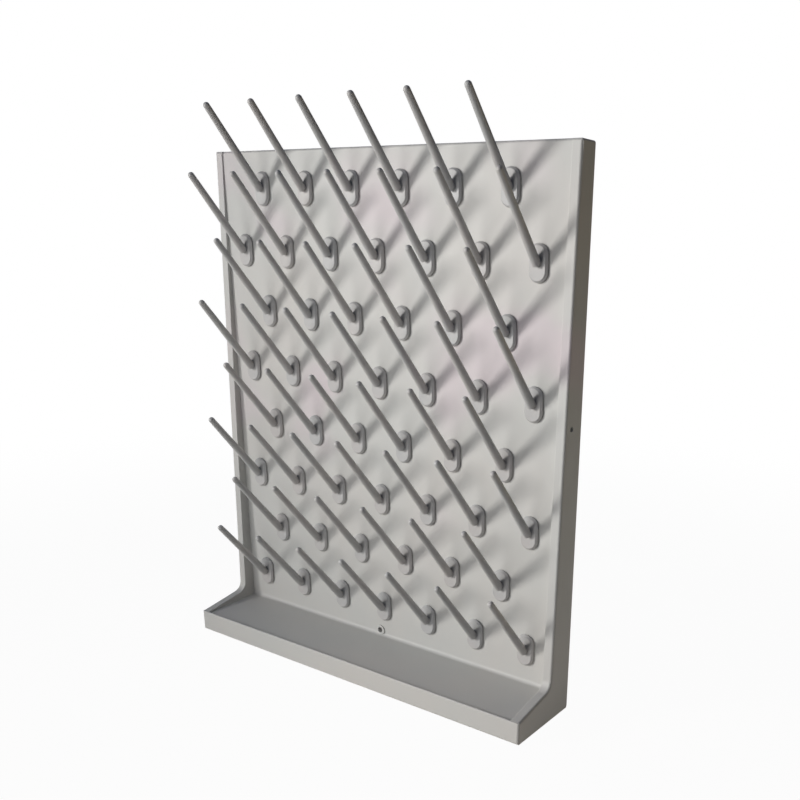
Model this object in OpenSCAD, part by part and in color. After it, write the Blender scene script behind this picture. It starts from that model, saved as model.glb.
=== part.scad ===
// Drying pegboard rack: one moulded board with a drip tray, and 52 push-in pegs.
// Millimetres, +X to the right, +Y to the wall, +Z up. The origin is on the base,
// in the middle of the width and of the depth.

/* [Board] */
// Width of the board over its two side rails
board_w = 550; // [500:10:700]
// Height of the board from its base
board_h = 650; // [630:10:800]
// Thickness of every moulded wall
wall = 3.5; // [2.5:0.5:5]
// Distance from the wall to the face that carries the pegs
face_d = 25; // [18:0.5:30]
// Radius of the board's outer corners, seen from the front
corner_r = 3; // [1:0.5:10]

/* [Side rails] */
// Width of each side rail
rail_w = 12.5; // [11:0.5:18]
// Depth of the rails at the top of the board
rail_top_d = 26.5; // [25.5:0.5:34]
// Depth of the rails where they meet the tray
rail_low_d = 41; // [36:0.5:50]
// Rounding of the rails' outer front edges
rail_r = 3; // [1:0.5:4]
// Rounding of the rails' inner front edges
rail_in_r = 1; // [0.5:0.25:1.5]
// Fillet between the rails and the peg face
root_r = 0.5; // [0.25:0.25:1]

/* [Tray] */
// Distance from the wall to the front of the tray
tray_d = 110; // [95:1:140]
// Height of the front lip
lip_h = 29.5; // [26:0.5:40]
// Rounding of the tray's upright front corners
lip_corner_r = 3; // [1:0.5:3]
// Height of the tray floor behind the lip
floor_front_z = 28; // [20:0.5:28]
// Height of the tray floor at the board
floor_back_z = 33; // [30:0.5:36]
// Height at which the slope of the tray sides would meet the rails
side_back_z = 44; // [42:0.5:50]
// Radius of the curve from each rail into its tray side
sweep_r = 14; // [8:1:20]
// Fillet between the peg face and the tray floor
floor_r = 5; // [3:0.5:8]
// Rounding of the base edges at the front and at the back
base_r = 5; // [2:0.5:8]

/* [Holes] */
// Diameter of the drain hole
drain_bore = 7.5; // [5:0.5:9]
// Diameter of the moulded ring round the drain hole
drain_ring = 14; // [12:0.5:18]
// Distance that the ring stands out from the peg face
drain_ring_h = 1.5; // [1:0.25:3]
// Height of the drain hole above the tray floor
drain_up = 7.5; // [6:0.5:12]
// Distance of the drain hole to the left of the middle
drain_left = 8; // [0:1:30]
// Diameter of the hose spout behind the drain hole, at its root
spout_dia = 12; // [12:0.5:14]
// Length of the hose spout behind the peg face's wall
spout_l = 7.5; // [4:0.5:8]
// Diameter of the fixing hole in each side
side_bore = 6; // [4:0.5:8]
// Height of the side fixing holes
side_bore_z = 356; // [100:1:500]
// Distance from the wall to the side fixing holes
side_bore_y = 21; // [10:0.5:22]

/* [Peg layout] */
// Distance of the end pegs from the sides of the board
side_margin = 47; // [40:1:70]
// Distance of the top row of pegs from the top of the board
top_margin = 45.5; // [40:0.5:70]
// Height of the lowest row of pegs
first_z = 77.5; // [70:0.5:90]

/* [Peg flange] */
// Width of the flange
flange_w = 24; // [20:0.5:30]
// Height of the flange
flange_h = 41; // [36:0.5:48]
// Thickness of the flange
flange_t = 4.5; // [4:0.5:6]
// Rounding of the flange's front edge
flange_edge_r = 2.5; // [1:0.25:3]

/* [Peg rod] */
// Angle of the rod above the horizontal
rod_tilt = 50; // [35:0.5:60]
// Length of the rod from its square root end to its tip
rod_l = 117; // [90:1:120]
// Diameter of the rod at its root
rod_root_dia = 10.5; // [9:0.5:14]
// Diameter of the rod at its tip
rod_tip_dia = 7.5; // [6:0.5:10]
// Distance of the middle of the root end from the peg face
root_out = 5.5; // [1.5:0.5:7]
// Distance of the middle of the root end below the middle of the flange
root_drop = 1; // [0:0.5:4]

/* [Peg spigot] */
// Width of the spigot that goes through the board
spigot_w = 9; // [7:0.5:10]
// Height of the spigot
spigot_h = 16; // [12:0.5:20]
// Length of the spigot's snap nose behind the board
nose_l = 6; // [4:0.5:8]
// Height of the snap lips above the spigot
snap_h = 1; // [0.5:0.25:1.5]
// Width of the slot that lets the snap nose spring
slot_w = 3; // [2:0.5:4]
// Gap between the spigot and its hole, on each side
fit_gap = 0.2; // [0.1:0.05:0.4]

/* [Hidden] */
ROWS = 8;
PEGS_IN_ROW = [6, 7, 6, 7, 6, 7, 6, 7];
function peg_name(row, col) = str("peg_r", row, "_c", col);
$fn = 48;

BOARD_COLOUR = [0.77, 0.76, 0.75];
PEG_COLOUR = [0.72, 0.71, 0.70];

// A cut runs this far past the surface that it opens
cut = 1;
// The smallest rounding inside the hollow
least_r = 0.5;
// The hose spout is this much slimmer at its end
spout_taper = 1;
// Where a straight run meets a curve, it is this much smaller, so that no two faces coincide
seam = 0.02;
mid_y = tray_d / 2;
half_w = board_w / 2;
panel_back_y = -(face_d - wall);
rim_r = wall / 2;
lip_back_y = -(tray_d - wall);

// The rail's front edge and the tray side's top edge, as directions in the Y-Z plane
rail_foot = [-rail_low_d, side_back_z];
rail_head = [-rail_top_d, board_h];
side_front = [-tray_d, lip_h];
function unit(v) = v / norm(v);
rail_dir = unit(rail_head - rail_foot);
side_dir = unit(rail_foot - side_front);
rail_angle = -atan2(rail_dir[0], rail_dir[1]);
side_angle = -atan2(side_dir[0], side_dir[1]);
// Half the angle between the rail and the tray side, and how far the curve reaches along each
sweep_half = acos(rail_dir * -side_dir) / 2;
sweep_reach = sweep_r / tan(sweep_half);
sweep_centre = rail_foot + unit(rail_dir - side_dir) * sweep_r / sin(sweep_half);
// The rail's section runs this far back from its front edge, past the peg face
sweep_body = rail_low_d;

pitch_x = (board_w - 2 * side_margin) / (max(PEGS_IN_ROW) - 1);
pitch_z = (board_h - top_margin - first_z) / (ROWS - 1);
function peg_x(row, col) = (col - (PEGS_IN_ROW[row - 1] + 1) / 2) * pitch_x;
function peg_z(row) = first_z + (ROWS - row) * pitch_z;

// ---- shapes that several pieces use ----

// The sliver between a corner and the arc of radius r that blends it. Each direction
// points from the corner along one of its sides.
module blend_2d(corner, dir_a, dir_b, r) {
    half = acos(unit(dir_a) * unit(dir_b)) / 2;
    reach = r / tan(half);
    centre = corner + unit(unit(dir_a) + unit(dir_b)) * r / sin(half);
    difference() {
        polygon([corner, corner + unit(dir_a) * reach, centre, corner + unit(dir_b) * reach]);
        translate(centre) circle(r);
    }
}

// An extrusion along X of an outline drawn in the Y-Z plane
module along_x(x_from, x_to) {
    translate([x_from, 0, 0]) rotate([90, 0, 90]) linear_extrude(x_to - x_from) children();
}

// An extrusion along Y of an outline drawn in the X-Z plane
module along_y(y_from, y_to) {
    translate([0, y_to, 0]) rotate([90, 0, 0]) linear_extrude(y_to - y_from) children();
}

module rounded_rect(w, h, r) {
    square([w - 2 * r, h], center = true);
    square([w, h - 2 * r], center = true);
    for (x = [-1, 1], y = [-1, 1]) translate([x * (w / 2 - r), y * (h / 2 - r)]) circle(r);
}

module obround(w, h) {
    square([w, h - w], center = true);
    for (y = [-1, 1]) translate([0, y * (h - w) / 2]) circle(d = w);
}

// ---- board ----

// Section across a rail: its front edge on the first axis, its body behind it
module rail_section(inset, body) {
    outer_r = max(rail_r - inset, least_r);
    inner_r = max(rail_in_r - inset, least_r);
    w = rail_w - 2 * inset;
    translate([inset, inset]) {
        translate([outer_r, 0]) square([w - outer_r - inner_r, body - inset]);
        translate([0, outer_r]) square([w / 2, body - inset - outer_r]);
        translate([w / 2, inner_r]) square([w / 2, body - inset - inner_r]);
        translate([outer_r, outer_r]) circle(outer_r);
        translate([w - inner_r, inner_r]) circle(inner_r);
    }
}

// One rail swept down the front of the board, round the curve and out along the tray
// side, with its outer face at x = 0. inset shrinks it by a wall for the hollow inside.
// The straight runs are a seam smaller than the curve and end inside it.
module rail_sweep(inset, body) {
    translate([0, rail_foot[0], rail_foot[1]]) {
        rotate([rail_angle, 0, 0]) translate([0, 0, sweep_reach - cut])
            linear_extrude(norm(rail_head - rail_foot) - sweep_reach + 2 * wall)
                rail_section(inset + seam, body);
        rotate([side_angle, 0, 0]) translate([0, 0, -norm(side_front - rail_foot)])
            linear_extrude(norm(side_front - rail_foot) - sweep_reach + cut)
                rail_section(inset + seam, body);
    }
    translate([0, sweep_centre[0], sweep_centre[1]]) rotate([0, 90, 0])
        rotate([0, 0, 90 + side_angle]) rotate_extrude(angle = rail_angle - side_angle, $fn = 96)
            translate([sweep_r, 0]) mirror([1, -1]) rail_section(inset, body);
}

module both_sides() {
    translate([-half_w, 0, 0]) children();
    translate([half_w, 0, 0]) mirror([1, 0, 0]) children();
}

// The tray from the side: base, lip with its round rim, and the sloping floor
module tray_side_2d() {
    polygon([[0, 0], [-tray_d, 0], [-tray_d, lip_h - rim_r], [lip_back_y, lip_h - rim_r],
             [lip_back_y, floor_front_z], [-face_d, floor_back_z], [0, floor_back_z]]);
    translate([-tray_d + rim_r, lip_h - rim_r]) circle(rim_r);
    floor_slope = [lip_back_y + face_d, floor_front_z - floor_back_z];
    blend_2d([-face_d, floor_back_z], floor_slope, [0, 1], floor_r);
}

// What the rounded edges of the base take off, from the side
module base_cuts_2d() {
    blend_2d([-tray_d, 0], [1, 0], [0, 1], base_r);
    blend_2d([0, 0], [-1, 0], [0, 1], base_r);
}

module front_outline_2d() {
    translate([0, board_h / 2]) rounded_rect(board_w, board_h, corner_r);
}

module plan_outline_2d() {
    r = lip_corner_r;
    translate([-half_w, -tray_d + r]) square([board_w, tray_d - r]);
    translate([-half_w + r, -tray_d]) square([board_w - 2 * r, tray_d]);
    for (x = [-1, 1]) translate([x * (half_w - r), -tray_d + r]) circle(r);
}

module board_skin() {
    intersection() {
        union() {
            along_x(-half_w, half_w) tray_side_2d();
            // The peg face and the rails each have their own rounded top edge
            difference() {
                translate([-half_w, -face_d, 0]) cube([board_w, face_d, board_h]);
                along_x(-half_w - cut, half_w + cut)
                    blend_2d([-face_d, board_h], [1, 0], [0, -1], rail_r);
            }
            both_sides() difference() {
                rail_sweep(0, sweep_body);
                along_x(-cut, rail_w + cut) blend_2d(rail_head, [1, 0], -rail_dir, rail_r);
            }
            // Fillets between the rails and the peg face
            both_sides() translate([rail_w, -face_d, floor_back_z])
                linear_extrude(board_h - floor_back_z - rail_r)
                    blend_2d([0, 0], [1, 0], [0, -1], root_r);
        }
        along_y(-tray_d, 0) front_outline_2d();
        linear_extrude(board_h) plan_outline_2d();
    }
}

// The hollow inside, open at the back
module board_hollow() {
    translate([-half_w + wall, panel_back_y, wall])
        cube([board_w - 2 * wall, -panel_back_y + cut, board_h - 2 * wall]);
    along_x(-half_w + wall, half_w - wall)
        polygon([[cut, wall], [lip_back_y, wall], [lip_back_y, floor_front_z - wall],
                 [-face_d, floor_back_z - wall], [cut, floor_back_z - wall]]);
    intersection() {
        both_sides() rail_sweep(wall, sweep_body + wall);
        translate([-half_w, lip_back_y, wall]) cube([board_w, tray_d, board_h - 2 * wall]);
    }
}

module board_holes() {
    for (row = [1:ROWS], col = [1:PEGS_IN_ROW[row - 1]])
        translate([peg_x(row, col), 0, peg_z(row)]) along_y(-face_d - cut, panel_back_y + cut)
            obround(spigot_w + 2 * fit_gap, spigot_h + 2 * fit_gap);
    translate([-drain_left, panel_back_y + spout_l + cut, floor_back_z + drain_up])
        rotate([90, 0, 0]) cylinder(d = drain_bore, h = wall + drain_ring_h + spout_l + 2 * cut);
    translate([0, -side_bore_y, side_bore_z]) rotate([0, 90, 0]) {
        translate([0, 0, half_w - wall - cut]) cylinder(d = side_bore, h = wall + 2 * cut);
        translate([0, 0, -half_w - cut]) cylinder(d = side_bore, h = wall + 2 * cut);
    }
}

module drain_ring_boss() {
    translate([-drain_left, -face_d, floor_back_z + drain_up]) rotate([90, 0, 0])
        cylinder(d = drain_ring, h = drain_ring_h);
}

// A short tapered spout in the hollow, for the hose that takes the water away
module drain_spout() {
    root_y = panel_back_y - wall / 2;
    translate([-drain_left, root_y, floor_back_z + drain_up]) rotate([-90, 0, 0])
        cylinder(d1 = spout_dia, d2 = spout_dia - spout_taper, h = wall / 2 + spout_l);
}

module board() {
    color(BOARD_COLOUR) translate([0, mid_y, 0]) difference() {
        union() {
            difference() {
                union() {
                    board_skin();
                    drain_ring_boss();
                }
                board_hollow();
            }
            drain_spout();
        }
        board_holes();
        along_x(-half_w - cut, half_w + cut) base_cuts_2d();
    }
}

// ---- pegs ----

// Half of the flange's section, from its middle to its rounded front edge
module flange_edge() {
    r = flange_edge_r;
    square([flange_w / 2, flange_t - r]);
    square([flange_w / 2 - r, flange_t]);
    translate([flange_w / 2 - r, flange_t - r]) intersection() {
        circle(r);
        square(r);
    }
}

// A flat obround plate lying on the peg face, its front edge rounded all the way round
module peg_flange() {
    span = flange_h - flange_w;
    rotate([90, 0, 0]) {
        for (turn = [0, 180]) rotate([0, 0, turn]) {
            translate([0, span / 2, 0]) rotate_extrude(angle = 180) flange_edge();
            translate([0, span / 2, 0]) rotate([90, 0, 0]) linear_extrude(span) flange_edge();
        }
    }
}

// The tapered rod. Its root end is cut square across the rod, half sunk in the flange, and
// what would reach behind the flange is taken off.
module peg_rod() {
    tip_r = rod_tip_dia / 2;
    difference() {
        translate([0, -root_out, -root_drop]) rotate([90 - rod_tilt, 0, 0]) {
            cylinder(d1 = rod_root_dia, d2 = rod_tip_dia, h = rod_l - tip_r);
            translate([0, 0, rod_l - tip_r]) sphere(tip_r);
        }
        translate([-rod_root_dia, 0, -rod_root_dia]) cube(2 * rod_root_dia);
    }
}

// The spigot through the board, with a split nose and a snap lip above and below
module peg_spigot() {
    lip_y = wall + fit_gap;
    end_y = wall + nose_l;
    difference() {
        union() {
            along_y(-flange_t / 2, end_y) obround(spigot_w, spigot_h);
            for (s = [-1, 1]) scale([1, 1, s]) along_x(-spigot_w / 4, spigot_w / 4)
                polygon([[lip_y, 0], [lip_y, spigot_h / 2 + snap_h], [end_y, spigot_h / 2 - snap_h],
                         [end_y, 0]]);
        }
        translate([-spigot_w, wall, -slot_w / 2]) cube([2 * spigot_w, nose_l + cut, slot_w]);
    }
}

module peg() {
    color(PEG_COLOUR) {
        peg_flange();
        peg_rod();
        peg_spigot();
    }
}

board();
for (row = [1:ROWS], col = [1:PEGS_IN_ROW[row - 1]])
    translate([peg_x(row, col), mid_y - face_d, peg_z(row)]) peg();
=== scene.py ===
# %% [markdown]
# # A drying pegboard for laboratory glassware
#
# The real rack is two kinds of moulding in light grey plastic: one large open-backed board with a
# drip tray across its foot, and 52 slanting pegs that push into it. The CAD model already holds
# every solid at its real size. The board keeps its CAD solid and gets a finish. The pegs are
# modelled again, because a real peg has a flat facet round its flange and a shadow gap behind it,
# and both catch the eye.
#
# All sizes are in metres. X runs to the right, Y to the wall and Z up.

# %% Load the solids
import math

import bpy
from mathutils import Matrix, Quaternion, Vector


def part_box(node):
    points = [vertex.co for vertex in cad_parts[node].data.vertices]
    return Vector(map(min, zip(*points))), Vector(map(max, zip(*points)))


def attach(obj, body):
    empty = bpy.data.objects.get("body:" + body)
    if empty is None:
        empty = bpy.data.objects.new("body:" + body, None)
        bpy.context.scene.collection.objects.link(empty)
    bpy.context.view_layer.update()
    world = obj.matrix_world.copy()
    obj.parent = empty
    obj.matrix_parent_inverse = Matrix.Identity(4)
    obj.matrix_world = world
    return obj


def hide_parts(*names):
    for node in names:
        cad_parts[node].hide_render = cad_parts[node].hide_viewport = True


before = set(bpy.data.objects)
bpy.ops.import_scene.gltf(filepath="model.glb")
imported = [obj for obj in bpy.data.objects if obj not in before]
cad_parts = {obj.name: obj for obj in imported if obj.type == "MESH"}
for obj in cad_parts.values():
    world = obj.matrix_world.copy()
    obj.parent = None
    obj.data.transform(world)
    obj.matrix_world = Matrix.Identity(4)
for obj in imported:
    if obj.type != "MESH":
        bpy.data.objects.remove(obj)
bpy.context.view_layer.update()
board_low, board_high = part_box("board")
PEG_NODES = sorted(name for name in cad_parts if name.startswith("peg_"))
print("board from", tuple(board_low), "to", tuple(board_high), "with", len(PEG_NODES), "pegs")

# %% [markdown]
# ## The camera
#
# The rack is seen from its right and from a little above, near enough for the near side to look
# much taller than the far one. A camera could be aimed by eye, but a place, a heading and a lens
# are easier to check. The roll is the small tilt of a camera held by hand, and the shift moves the
# view across the sensor without turning the camera.

# %% Place the camera
CAMERA_PLACE = Vector((0.7443, -0.7995, 0.5443))
CAMERA_HEADING = 31.99
CAMERA_DOWN = 18.59
CAMERA_ROLL = 1.96
CAMERA_LENS = 39.42
CAMERA_SHIFT = (-0.1604, 0.1784)


def direction(heading, down):
    """A unit vector that points heading degrees left of +Y and down degrees below the level."""
    turn = math.radians(heading)
    drop = math.radians(down)
    level = math.cos(drop)
    return Vector((-math.sin(turn) * level, math.cos(turn) * level, -math.sin(drop)))


def place_camera():
    view = direction(CAMERA_HEADING, CAMERA_DOWN)
    camera_data = bpy.data.cameras.new("camera")
    camera_data.lens = CAMERA_LENS
    camera_data.shift_x, camera_data.shift_y = CAMERA_SHIFT
    camera = bpy.data.objects.new("camera", camera_data)
    camera.rotation_mode = "QUATERNION"
    upright = view.to_track_quat("-Z", "Y")
    camera.rotation_quaternion = upright @ Quaternion((0, 0, 1), math.radians(CAMERA_ROLL))
    camera.location = CAMERA_PLACE
    bpy.context.scene.collection.objects.link(camera)
    bpy.context.scene.camera = camera
    return camera


camera = place_camera()
print("camera at", tuple(camera.location), "with a lens of", camera.data.lens, "mm")

# %% [markdown]
# ## One peg, modelled by hand
#
# A real peg comes out of one mould cavity: a flat obround flange, a tapered rod set on it at a
# slant, and a split spigot behind. It could be lathed, but only the rod is round. So each form
# starts as the primitive that is nearest to it, is shaped in edit mode, and the three are then
# fused with a union, as they are in the mould.
#
# Two helpers come first. fresh() leaves edit mode and deselects everything, because an operator
# works on all that is selected. pick() selects corners or edges by a test on their corners.

# %% Two helpers for edit mode
import bmesh


def fresh():
    """Object mode, with nothing selected."""
    if bpy.context.object and bpy.context.object.mode != "OBJECT":
        bpy.ops.object.mode_set(mode="OBJECT")
    bpy.ops.object.select_all(action="DESELECT")


def pick(piece, kind, test):
    """In edit mode, selects each VERT or EDGE whose corners all pass the test."""
    bpy.ops.mesh.select_mode(type=kind)
    bpy.ops.mesh.select_all(action="DESELECT")
    shape = bmesh.from_edit_mesh(piece.data)
    for part in {"VERT": shape.verts, "EDGE": shape.edges}[kind]:
        corners = [part] if kind == "VERT" else part.verts
        if all(test(corner.co) for corner in corners):
            part.select_set(True)
    bmesh.update_edit_mesh(piece.data)


def named(name):
    """Names the new primitive, puts its place into its mesh and opens edit mode."""
    piece = bpy.context.object
    piece.name = name
    bpy.ops.object.transform_apply(location=True, rotation=True, scale=True)
    bpy.ops.object.mode_set(mode="EDIT")
    return piece


NEAR = 1e-5
QUARTER = math.pi / 2

# %% [markdown]
# ### The flange
#
# A circle is cut in half by its own middle line: its upper corners move up and its lower ones down,
# and the two straight sides appear between them. The outline is then extruded to its thickness. Its
# front rim gets one wide flat facet, which catches the light as a band of its own, and the rim at
# the board a small one, which draws the thin dark line between a peg and the face.

# %% Model the flange
FLANGE_WIDTH = 0.024
FLANGE_HEIGHT = 0.041
FLANGE_THICK = 0.0045
FRONT_FACET = 0.0022
BACK_FACET = 0.0008
FLANGE_STEPS = 56


def obround(width, height, corners, place):
    """A flat obround outline that faces the front, left open in edit mode."""
    fresh()
    bpy.ops.mesh.primitive_circle_add(vertices=corners, radius=width / 2, fill_type="NGON",
                                      location=place, rotation=(QUARTER, 0, 0))
    piece = named("obround")
    for way in (1, -1):
        pick(piece, "VERT", lambda spot: way * (spot.z - place[2]) > NEAR)
        bpy.ops.transform.translate(value=(0, 0, way * (height - width) / 2))
    return piece


def thicken(distance):
    """Extrudes what is drawn by this distance towards the front."""
    bpy.ops.mesh.select_all(action="SELECT")
    bpy.ops.mesh.extrude_region_move(TRANSFORM_OT_translate={"value": (0, -distance, 0)})


def model_flange():
    flange = obround(FLANGE_WIDTH, FLANGE_HEIGHT, FLANGE_STEPS, (0, 0, 0))
    thicken(FLANGE_THICK)
    pick(flange, "EDGE", lambda spot: spot.y < NEAR - FLANGE_THICK)
    bpy.ops.mesh.bevel(offset=FRONT_FACET, segments=1)
    pick(flange, "EDGE", lambda spot: spot.y > -NEAR)
    bpy.ops.mesh.bevel(offset=BACK_FACET, segments=1)
    fresh()
    flange.name = "flange"
    return flange


flange = model_flange()
print("flange:", len(flange.data.vertices), "corners,", tuple(flange.dimensions))

# %% [markdown]
# ### The rod
#
# A cone primitive is already the tapered bar. It is made standing and leaned forward as it is
# added. Its tip is rounded by a bevel nearly as wide as the tip's own radius, with enough steps to
# look turned, and its square root end only loses its sharpness.

# %% Model the rod
ROD_LENGTH = 0.1169
ROD_TILT = 50.0
ROOT_RADIUS = 0.00525
TIP_RADIUS = 0.00375
ROOT_OUT = 0.0055
ROOT_DROP = 0.001
ROOT_BEVEL = 0.0004
ROOT_STEPS = 2
TIP_BEVEL = TIP_RADIUS * 0.96
TIP_STEPS = 7
ROD_STEPS = 32


def model_rod():
    tilt = math.radians(ROD_TILT)
    along = Vector((0, -math.cos(tilt), math.sin(tilt)))
    root = Vector((0, -ROOT_OUT, -ROOT_DROP))
    fresh()
    bpy.ops.mesh.primitive_cone_add(vertices=ROD_STEPS, radius1=ROOT_RADIUS, radius2=TIP_RADIUS,
                                    depth=ROD_LENGTH, location=root + along * ROD_LENGTH / 2,
                                    rotation=(QUARTER - tilt, 0, 0))
    rod = named("rod")
    pick(rod, "EDGE", lambda spot: (spot - root).dot(along) > ROD_LENGTH - NEAR)
    bpy.ops.mesh.bevel(offset=TIP_BEVEL, segments=TIP_STEPS)
    pick(rod, "EDGE", lambda spot: (spot - root).dot(along) < NEAR)
    bpy.ops.mesh.bevel(offset=ROOT_BEVEL, segments=ROOT_STEPS)
    fresh()
    return rod


rod = model_rod()
reach = max(corner.co.z for corner in rod.data.vertices)
print("rod:", len(rod.data.vertices), "corners, reaching", round(reach, 4))

# %% [markdown]
# ### The spigot
#
# Behind the flange an obround spigot goes through the board, which is why a peg can't turn. Its
# nose is split, and each half has a small lip that snaps behind the wall. Both halves could be cut
# from one solid, but they are alike. So half an obround is modelled, with its rear edge pulled in
# so that it finds the hole, and the Mirror modifier makes the other half.

# %% Model the spigot
SPIGOT_WIDTH = 0.009
SPIGOT_HEIGHT = 0.016
WALL = 0.0035
NOSE = 0.006
SLOT = 0.003
SNAP = 0.0009
SNAP_GAP = 0.0002
NOSE_END = (0.85, 1, 0.93)
SPIGOT_STEPS = 32


def model_shank():
    """The whole part of the spigot, from inside the flange to the back of the wall."""
    shank = obround(SPIGOT_WIDTH, SPIGOT_HEIGHT, SPIGOT_STEPS, (0, WALL, 0))
    thicken(WALL + FLANGE_THICK / 2)
    fresh()
    shank.name = "shank"
    return shank


def model_nose():
    """The split nose with its two snap lips."""
    nose = obround(SPIGOT_WIDTH, SPIGOT_HEIGHT, SPIGOT_STEPS, (0, WALL + NOSE, 0))
    thicken(NOSE + FLANGE_THICK / 4)
    bpy.ops.mesh.select_all(action="SELECT")
    bpy.ops.mesh.bisect(plane_co=(0, 0, SLOT / 2), plane_no=(0, 0, 1), clear_inner=True,
                        use_fill=True)
    bpy.ops.mesh.select_all(action="SELECT")
    bpy.ops.mesh.bisect(plane_co=(0, WALL + SNAP_GAP, 0), plane_no=(0, 1, 0))
    pick(nose, "EDGE", lambda spot: abs(spot.y - WALL - SNAP_GAP) < NEAR
         and spot.z > (SPIGOT_HEIGHT - SPIGOT_WIDTH) / 2 + NEAR)
    bpy.ops.transform.translate(value=(0, 0, SNAP))
    pick(nose, "EDGE", lambda spot: spot.y > WALL + NOSE - NEAR)
    bpy.ops.transform.resize(value=NOSE_END)
    fresh()
    nose.name = "nose"
    nose.select_set(True)
    bpy.context.view_layer.objects.active = nose
    mirror = nose.modifiers.new("other half", "MIRROR")
    mirror.use_axis = (False, False, True)
    bpy.ops.object.modifier_apply(modifier=mirror.name)
    return nose


shank = model_shank()
nose = model_nose()
print("spigot:", len(shank.data.vertices) + len(nose.data.vertices), "corners")

# %% [markdown]
# ### Fuse and copy
#
# The Boolean modifier fuses the forms into one skin. Edges sharper than 35 degrees stay crisp and
# the rest are shaded smooth. Smooth shading alone would make the flat flange look like a pillow, so
# the Weighted Normal modifier lets its large faces keep their direction. The peg is then copied to
# each hole. Where the hole is comes from the CAD peg that the copy stands for: its box is as wide
# as the flange and starts at its lower end.

# %% Fuse the peg
CRISP_ANGLE = 35.0


def fuse(whole, parts):
    for part in parts:
        fresh()
        whole.select_set(True)
        bpy.context.view_layer.objects.active = whole
        join = whole.modifiers.new("fuse", "BOOLEAN")
        join.operation = "UNION"
        join.solver = "EXACT"
        join.object = part
        bpy.ops.object.modifier_apply(modifier=join.name)
        bpy.data.objects.remove(part, do_unlink=True)
    fresh()
    whole.select_set(True)
    bpy.context.view_layer.objects.active = whole
    bpy.ops.object.shade_smooth_by_angle(angle=math.radians(CRISP_ANGLE))
    even = whole.modifiers.new("flat stays flat", "WEIGHTED_NORMAL")
    even.keep_sharp = True
    bpy.ops.object.modifier_apply(modifier=even.name)
    return whole


peg = fuse(flange, (rod, shank, nose))
print("peg:", len(peg.data.polygons), "faces,", tuple(round(side, 4) for side in peg.dimensions))

# %% Copy it to the 52 holes
def copy_pegs(peg):
    pegs = []
    for name in PEG_NODES:
        low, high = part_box(name)
        hole = Vector(((low[0] + high[0]) / 2, high[1] - WALL - NOSE, low[2] + FLANGE_HEIGHT / 2))
        copy = bpy.data.objects.new("drying_" + name, peg.data.copy())
        copy.data.transform(Matrix.Translation(hole))
        bpy.context.scene.collection.objects.link(copy)
        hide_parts(name)
        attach(copy, "root")
        pegs.append(copy)
    bpy.data.objects.remove(peg, do_unlink=True)
    return pegs


pegs = copy_pegs(peg)
print(len(pegs), "pegs, the first from", tuple(round(c, 4) for c in pegs[0].bound_box[0]))

# %% [markdown]
# ## Shader maths that reads like Python
#
# A material is a chain of nodes. Wiring them by hand hides the idea behind the wires, so one small
# class wraps a socket and turns +, - and * into Math nodes. A second class holds one shader tree
# and makes any other node from its type, its settings and what feeds its sockets. A third adds the
# material that the tree belongs to.

# %% A socket that can be added and multiplied
class Wire:
    """One output socket, with arithmetic."""

    def __init__(self, tree, socket):
        self.tree = tree
        self.socket = socket

    def maths(self, operation, first, second=None):
        made = self.tree.nodes.new("ShaderNodeMath")
        made.operation = operation
        for slot, value in enumerate((first, second)):
            if isinstance(value, Wire):
                self.tree.links.new(value.socket, made.inputs[slot])
            elif value is not None:
                made.inputs[slot].default_value = value
        return Wire(self.tree, made.outputs[0])

    def __add__(self, other):
        return self.maths("ADD", self, other)

    def __radd__(self, other):
        return self.maths("ADD", other, self)

    def __sub__(self, other):
        return self.maths("SUBTRACT", self, other)

    def __rsub__(self, other):
        return self.maths("SUBTRACT", other, self)

    def __mul__(self, other):
        return self.maths("MULTIPLY", self, other)

    def __rmul__(self, other):
        return self.maths("MULTIPLY", other, self)

    def clamped(self):
        return self.maths("MAXIMUM", self.maths("MINIMUM", self, 1.0), 0.0)


# %% A shader tree, and a material built from one
class Shader:
    """One shader tree. node() makes any node, and feed() sets or links a socket."""

    def __init__(self, tree):
        self.tree = tree

    def feed(self, socket, value):
        if isinstance(value, Wire):
            self.tree.links.new(value.socket, socket)
        else:
            socket.default_value = value

    def node(self, kind, settings=None, sockets=None, output=0):
        made = self.tree.nodes.new(kind)
        for name, value in (settings or {}).items():
            setattr(made, name, value)
        for name, value in (sockets or {}).items():
            self.feed(made.inputs[name], value)
        return Wire(self.tree, made.outputs[output])

    def mix(self, factor, first, second):
        """A colour between first and second."""
        settings = {"data_type": "RGBA"}
        return self.node("ShaderNodeMix", settings, {0: factor, 6: first, 7: second}, output=2)

    def ramp(self, value, low, high):
        """0 where value is below low, 1 above high, and smooth between."""
        sockets = {"Value": value, "From Min": low, "From Max": high}
        return self.node("ShaderNodeMapRange", {"interpolation_type": "SMOOTHSTEP"}, sockets)

    def bump(self, height, distance, normal=None):
        sockets = {"Height": height, "Distance": distance, "Strength": 1.0}
        if normal:
            sockets["Normal"] = normal
        return self.node("ShaderNodeBump", None, sockets)

    def rays(self, *kinds):
        """1 for rays of any of these kinds, and 0 for the others."""
        total = 0.0
        for kind in kinds:
            total = self.node("ShaderNodeLightPath", output=kind) + total
        return total.clamped()


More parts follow.
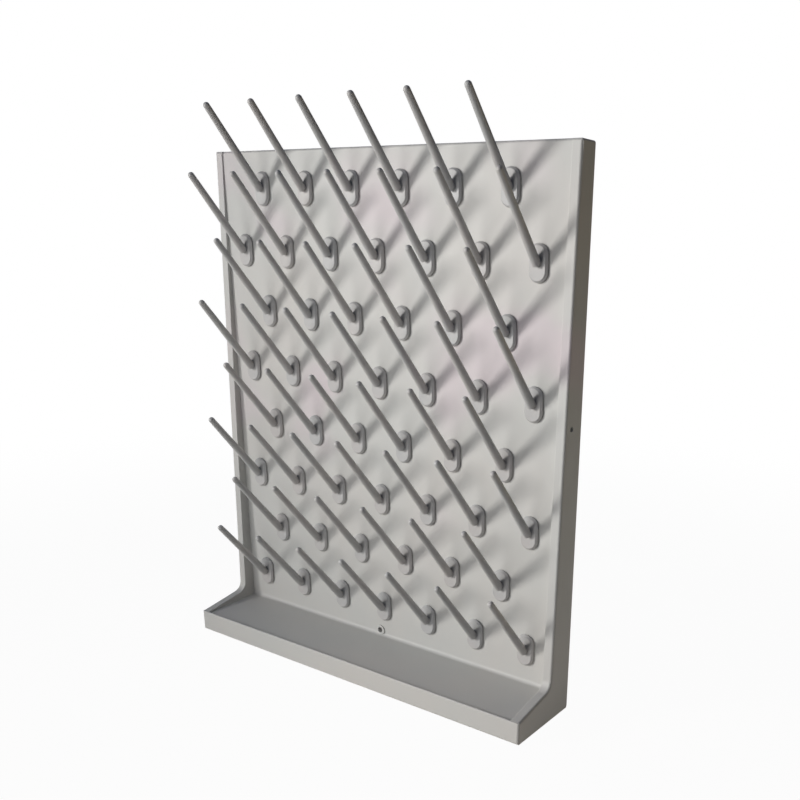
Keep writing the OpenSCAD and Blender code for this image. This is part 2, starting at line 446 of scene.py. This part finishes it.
class Finish(Shader):
    """One material, with its surface and its place on the object."""

    def __init__(self, name):
        self.material = bpy.data.materials.new(name)
        self.material.use_nodes = True
        super().__init__(self.material.node_tree)
        self.surface = self.tree.nodes["Principled BSDF"]
        self.place = self.node("ShaderNodeTexCoord", output="Object")

    def noise(self, size, detail=2.0, stretch=None):
        """Smooth noise whose lumps are about size metres across, around 0.5."""
        where = self.place
        if stretch:
            where = self.node("ShaderNodeMapping", sockets={"Vector": where, "Scale": stretch})
        sockets = {"Vector": where, "Scale": 1 / size, "Detail": detail}
        return self.node("ShaderNodeTexNoise", {"noise_dimensions": "3D"}, sockets)

    def finish(self, **sockets):
        for name, value in sockets.items():
            self.feed(self.surface.inputs[name.replace("_", " ")], value)
        return self.material


# %% [markdown]
# ## The board's plastic
#
# The plastic comes out of the mould with a soft satin skin. Close up it has a very fine grain from
# the spark-eroded tool. Over a hand's width the face is never quite flat: it sinks a little where
# the plastic shrank, and the melt leaves faint clouds in the colour as it flows, with a pinkish
# blush that fades out towards the tray. One flat grey would be simpler, and would look like card.
# Noise at three scales, for the grain, the waves and the clouds, makes it a moulding.

# %% The board's plastic
def grey(red, green, blue):
    return (red, green, blue, 1.0)


BOARD_COOL = grey(0.540, 0.540, 0.518)
BOARD_WARM = grey(0.565, 0.548, 0.520)
BOARD_BLUSH = grey(0.592, 0.534, 0.545)
GRAIN_SIZE = 0.0007
GRAIN_DEPTH = 0.00002
WAVE_SIZE = 0.09
WAVE_DEPTH = 0.0006
CLOUD_SIZE = 0.22
FLOW_SIZE = 0.05
FLOW_STRETCH = (1.0, 1.0, 0.35)
FLOW_SHARE = 0.25
TONE_SPAN = (0.35, 0.65)
BLUSH_SIZE = 0.17
BLUSH_SPAN = (0.48, 0.66)
BLUSH_HEIGHTS = (0.1, 0.35)
ROUGH_SIZE = 0.03
ROUGH_LEAST = 0.46
ROUGH_MORE = 0.10


def board_plastic():
    skin = Finish("board_plastic")
    clouds = skin.noise(CLOUD_SIZE, detail=3.0)
    flow = skin.noise(FLOW_SIZE, stretch=FLOW_STRETCH)
    tone = skin.ramp(clouds * (1 - FLOW_SHARE) + flow * FLOW_SHARE, *TONE_SPAN)
    height = skin.node("ShaderNodeSeparateXYZ", sockets={"Vector": skin.place}, output=2)
    patches = skin.ramp(skin.noise(BLUSH_SIZE), *BLUSH_SPAN)
    blush = patches * skin.ramp(height, *BLUSH_HEIGHTS)
    colour = skin.mix(blush, skin.mix(tone, BOARD_COOL, BOARD_WARM), BOARD_BLUSH)
    grain = skin.noise(GRAIN_SIZE, detail=1.0)
    waves = skin.noise(WAVE_SIZE, detail=1.0)
    normal = skin.bump(grain, GRAIN_DEPTH, skin.bump(waves, WAVE_DEPTH))
    rough = ROUGH_LEAST + ROUGH_MORE * skin.noise(ROUGH_SIZE)
    return skin.finish(Base_Color=colour, Roughness=rough, Normal=normal)


def dress(solid, material):
    """Gives a solid its finish, in place of what it came with."""
    solid.data.materials.clear()
    solid.data.materials.append(material)


BOARD_PLASTIC = board_plastic()
dress(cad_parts["board"], BOARD_PLASTIC)
print("board dressed with", len(BOARD_PLASTIC.node_tree.nodes), "nodes")

# %% [markdown]
# ## The pegs' plastic
#
# The pegs come from another tool. They are a little smoother than the board, so their grain is
# shallower, and their clouds are smaller. Their grey is painted a shade darker than the board's:
# that is painted shade, standing in for the shade that falls on the rods. With the board's grey
# they would sink into the face behind them.

# %% The pegs' plastic
# Painted shade: both peg greys are set darker than the board's to stand in for the shade on the
# rods.
PEG_COOL_SHADED = grey(0.455, 0.455, 0.450)
PEG_WARM_SHADED = grey(0.495, 0.475, 0.460)
PEG_CLOUD_SIZE = 0.06
PEG_TONE_SPAN = (0.3, 0.7)
PEG_GRAIN_SHARE = 0.4
PEG_ROUGH_SIZE = 0.02
PEG_ROUGH_LEAST = 0.40
PEG_ROUGH_MORE = 0.12


def peg_plastic():
    skin = Finish("peg_plastic")
    clouds = skin.noise(PEG_CLOUD_SIZE)
    colour = skin.mix(skin.ramp(clouds, *PEG_TONE_SPAN), PEG_COOL_SHADED, PEG_WARM_SHADED)
    grain = skin.noise(GRAIN_SIZE, detail=1.0)
    normal = skin.bump(grain, GRAIN_DEPTH * PEG_GRAIN_SHARE)
    rough = PEG_ROUGH_LEAST + PEG_ROUGH_MORE * skin.noise(PEG_ROUGH_SIZE)
    return skin.finish(Base_Color=colour, Roughness=rough, Normal=normal)


PEG_PLASTIC = peg_plastic()
for copy in pegs:
    dress(copy, PEG_PLASTIC)
print(len(pegs), "pegs dressed with", len(PEG_PLASTIC.node_tree.nodes), "nodes")

# %% [markdown]
# ## The floor
#
# A pale floor carries the rack's shadow. It could simply be white, but then it would throw too much
# light back at the rack. So rays from the camera, and mirrored or transmitted ones, see it nearly
# white, and further out wholly white, so that no horizon shows. Diffuse rays meet an ordinary matt
# floor of a pale warm grey.

# %% The floor
FLOOR_RADIUS = 5.0
FLOOR_CORNERS = 96
FLOOR_COLOUR = grey(0.64, 0.60, 0.53)
FLOOR_ROUGH = 0.9
FLOOR_GLOW = 0.965
FLOOR_FADE = (0.55, 1.8)
WHITE = grey(1.0, 1.0, 1.0)


def make_floor():
    fresh()
    bpy.ops.mesh.primitive_circle_add(vertices=FLOOR_CORNERS, radius=FLOOR_RADIUS,
                                      fill_type="NGON")
    floor = bpy.context.object
    floor.name = "floor"
    paint = Finish("floor_paint")
    seen = paint.rays("Is Camera Ray", "Is Glossy Ray", "Is Transmission Ray")
    length = {"operation": "LENGTH"}
    distance = paint.node("ShaderNodeVectorMath", length, {0: paint.place}, output=1)
    far = paint.ramp(distance, *FLOOR_FADE)
    share = seen * (FLOOR_GLOW + (1 - FLOOR_GLOW) * far)
    glow = paint.node("ShaderNodeEmission", None, {"Color": WHITE, "Strength": 1.0})
    matt = Wire(paint.tree, paint.surface.outputs[0])
    both = paint.node("ShaderNodeMixShader", None, {0: share, 1: matt, 2: glow})
    paint.feed(paint.tree.nodes["Material Output"].inputs["Surface"], both)
    floor.data.materials.append(paint.finish(Base_Color=FLOOR_COLOUR, Roughness=FLOOR_ROUGH))
    return floor


floor = make_floor()
print("floor", round(floor.dimensions.x, 2), "m across")

# %% [markdown]
# ## The key lamp
#
# One soft spot stands in front and to the left, almost level with the rack. It draws a slanting
# shadow behind every peg, and leaves the tray's floor and the right side in shade. A sun would
# light the whole face evenly, so a spot is used: its soft cone is aimed past the right edge, and
# its light thins out towards the left.

# %% Hang the key lamp
KEY_FROM = 46.0
KEY_UP = 11.0
KEY_DISTANCE = 3.4
KEY_RADIUS = 0.37
KEY_POWER = 350.0
KEY_CONE = 31.0
KEY_BLEND = 1.0
KEY_AIM = Vector((0.42, 0.0, 0.40))
KEY_COLOUR = (1.0, 0.985, 0.96)


def hang(name, kind, power, place, travel):
    """A lamp at a place, shining along travel."""
    lamp_data = bpy.data.lights.new(name, kind)
    lamp_data.energy = power
    lamp = bpy.data.objects.new(name, lamp_data)
    lamp.location = place
    lamp.rotation_euler = travel.to_track_quat("-Z", "Y").to_euler()
    bpy.context.scene.collection.objects.link(lamp)
    print(name, "lamp at", tuple(round(c, 2) for c in place), "of", power, "W")
    return lamp


key_travel = direction(-KEY_FROM, KEY_UP)
key = hang("key", "SPOT", KEY_POWER, KEY_AIM - key_travel * KEY_DISTANCE, key_travel)
key.data.shadow_soft_size = KEY_RADIUS
key.data.spot_size = math.radians(KEY_CONE)
key.data.spot_blend = KEY_BLEND
key.data.color = KEY_COLOUR

# %% [markdown]
# ## The fill lamp
#
# Without a second lamp the key's shadows would be too deep. A room as bright as that would lighten
# every side alike, so a wide weak panel stands low, 20 degrees left of the front, and opens them.

# %% Hang the fill lamp
FILL_FROM = 20.0
FILL_UP = 0.0
FILL_DISTANCE = 1.6
FILL_SIZE = 1.1
FILL_POWER = 12.5
FILL_AIM = Vector((0.14, -0.05, 0.18))


def hang_panel(name, size, power, place, travel):
    """A square lamp, for soft light."""
    lamp = hang(name, "AREA", power, place, travel)
    lamp.data.shape = "SQUARE"
    lamp.data.size = size
    return lamp


fill_travel = direction(-FILL_FROM, FILL_UP)
hang_panel("fill", FILL_SIZE, FILL_POWER, FILL_AIM - fill_travel * FILL_DISTANCE, fill_travel)

# %% [markdown]
# ## The side lamp
#
# The outer right side gets a little warm light. A lamp in front would wash over the face too, so
# this panel stands behind the rack on the right: the face is turned away from it.

# %% Hang the side lamp
SIDE_PLACE = Vector((1.85, 1.05, 0.40))
SIDE_AIM = Vector((0.275, 0.0, 0.28))
SIDE_SIZE = 1.0
SIDE_POWER = 3.7
SIDE_COLOUR = (1.0, 0.80, 0.42)

side = hang_panel("side", SIDE_SIZE, SIDE_POWER, SIDE_PLACE, SIDE_AIM - SIDE_PLACE)
side.data.color = SIDE_COLOUR

# %% [markdown]
# ## The room
#
# The room gives the rest of the light, and it is dim. It could be one even grey, but a real room
# differs from side to side: here it is cool from above and nearly dark from the right. Behind it is
# lighter, so that the hollow back can be seen into. The camera itself sees it white.

# %% Light the room
ROOM_FRONT = grey(0.09, 0.09, 0.09)
ROOM_TOP = grey(0.050, 0.070, 0.125)
ROOM_RIGHT = grey(0.012, 0.010, 0.004)
ROOM_BACK = grey(0.20, 0.20, 0.20)
TOP_SPAN = (0.1, 0.9)
RIGHT_SPAN = (0.1, 0.8)
BACK_SPAN = (-0.4, 0.6)


def make_world():
    world = bpy.data.worlds.new("studio")
    bpy.context.scene.world = world
    world.use_nodes = True
    room = Shader(world.node_tree)
    way = room.node("ShaderNodeTexCoord", output="Generated")
    sides = [room.node("ShaderNodeSeparateXYZ", None, {0: way}, output=axis) for axis in range(3)]
    colour = room.mix(room.ramp(sides[1], *BACK_SPAN), ROOM_FRONT, ROOM_BACK)
    colour = room.mix(room.ramp(sides[0], *RIGHT_SPAN), colour, ROOM_RIGHT)
    colour = room.mix(room.ramp(sides[2], *TOP_SPAN), colour, ROOM_TOP)
    seen = room.rays("Is Camera Ray")
    background = room.tree.nodes["Background"]
    room.feed(background.inputs["Color"], room.mix(seen, colour, WHITE))
    return world


world = make_world()
bpy.context.scene.view_settings.view_transform = "Standard"
print("room lit with", len(world.node_tree.nodes), "nodes")
